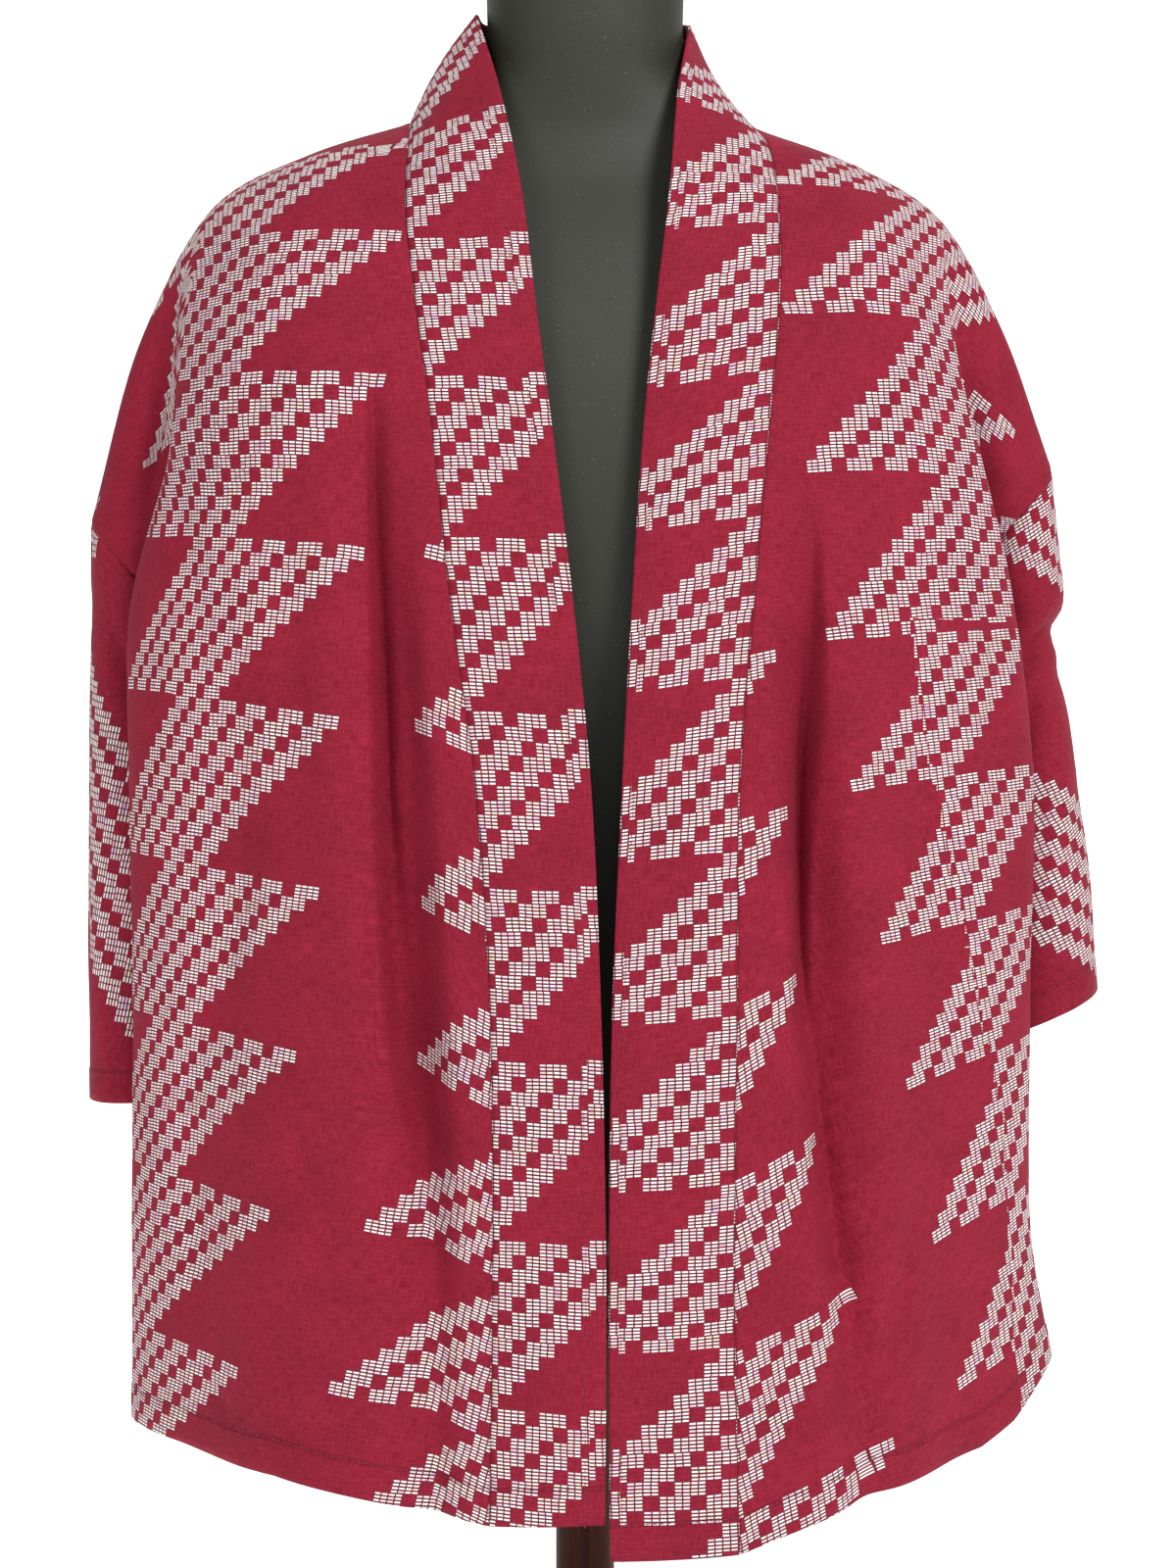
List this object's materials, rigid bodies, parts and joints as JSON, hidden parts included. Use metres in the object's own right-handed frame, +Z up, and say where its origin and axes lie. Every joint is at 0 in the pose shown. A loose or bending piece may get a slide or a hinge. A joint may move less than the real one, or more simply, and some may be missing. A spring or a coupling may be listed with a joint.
{
  "type": "haori jacket on a limbless dress form with a stand",
  "caption": "Open-front haori jacket with neckband, dropped shoulders and wide sleeves, worn on a limbless dress form with a pole and a round base.",
  "frame": {"origin": "centre of the stand base's underside, on the surface that it stands on", "axes": "+Z up, the open front faces -Y, the wearer's left side is at +X"},
  "size_m": [0.5647, 0.3, 1.01],
  "materials": {
    "crimson_cloth": "crimson cotton weave with a supplementary weft of pale lilac-white thread",
    "form_skin": "black-charcoal satin skin of a moulded dress form",
    "dark_wood": "dark brown stained and varnished wood",
    "dark_steel": "black satin powder coat"
  },
  "bodies": {
    "root": {"front_right": "crimson_cloth", "front_left": "crimson_cloth", "back": "crimson_cloth", "neckband_right": "crimson_cloth", "neckband_left": "crimson_cloth", "sleeve_right": "crimson_cloth", "sleeve_left": "crimson_cloth", "dress_form": "form_skin", "stand_pole": "dark_wood", "stand_base": "dark_steel"}
  },
  "joints": []
}
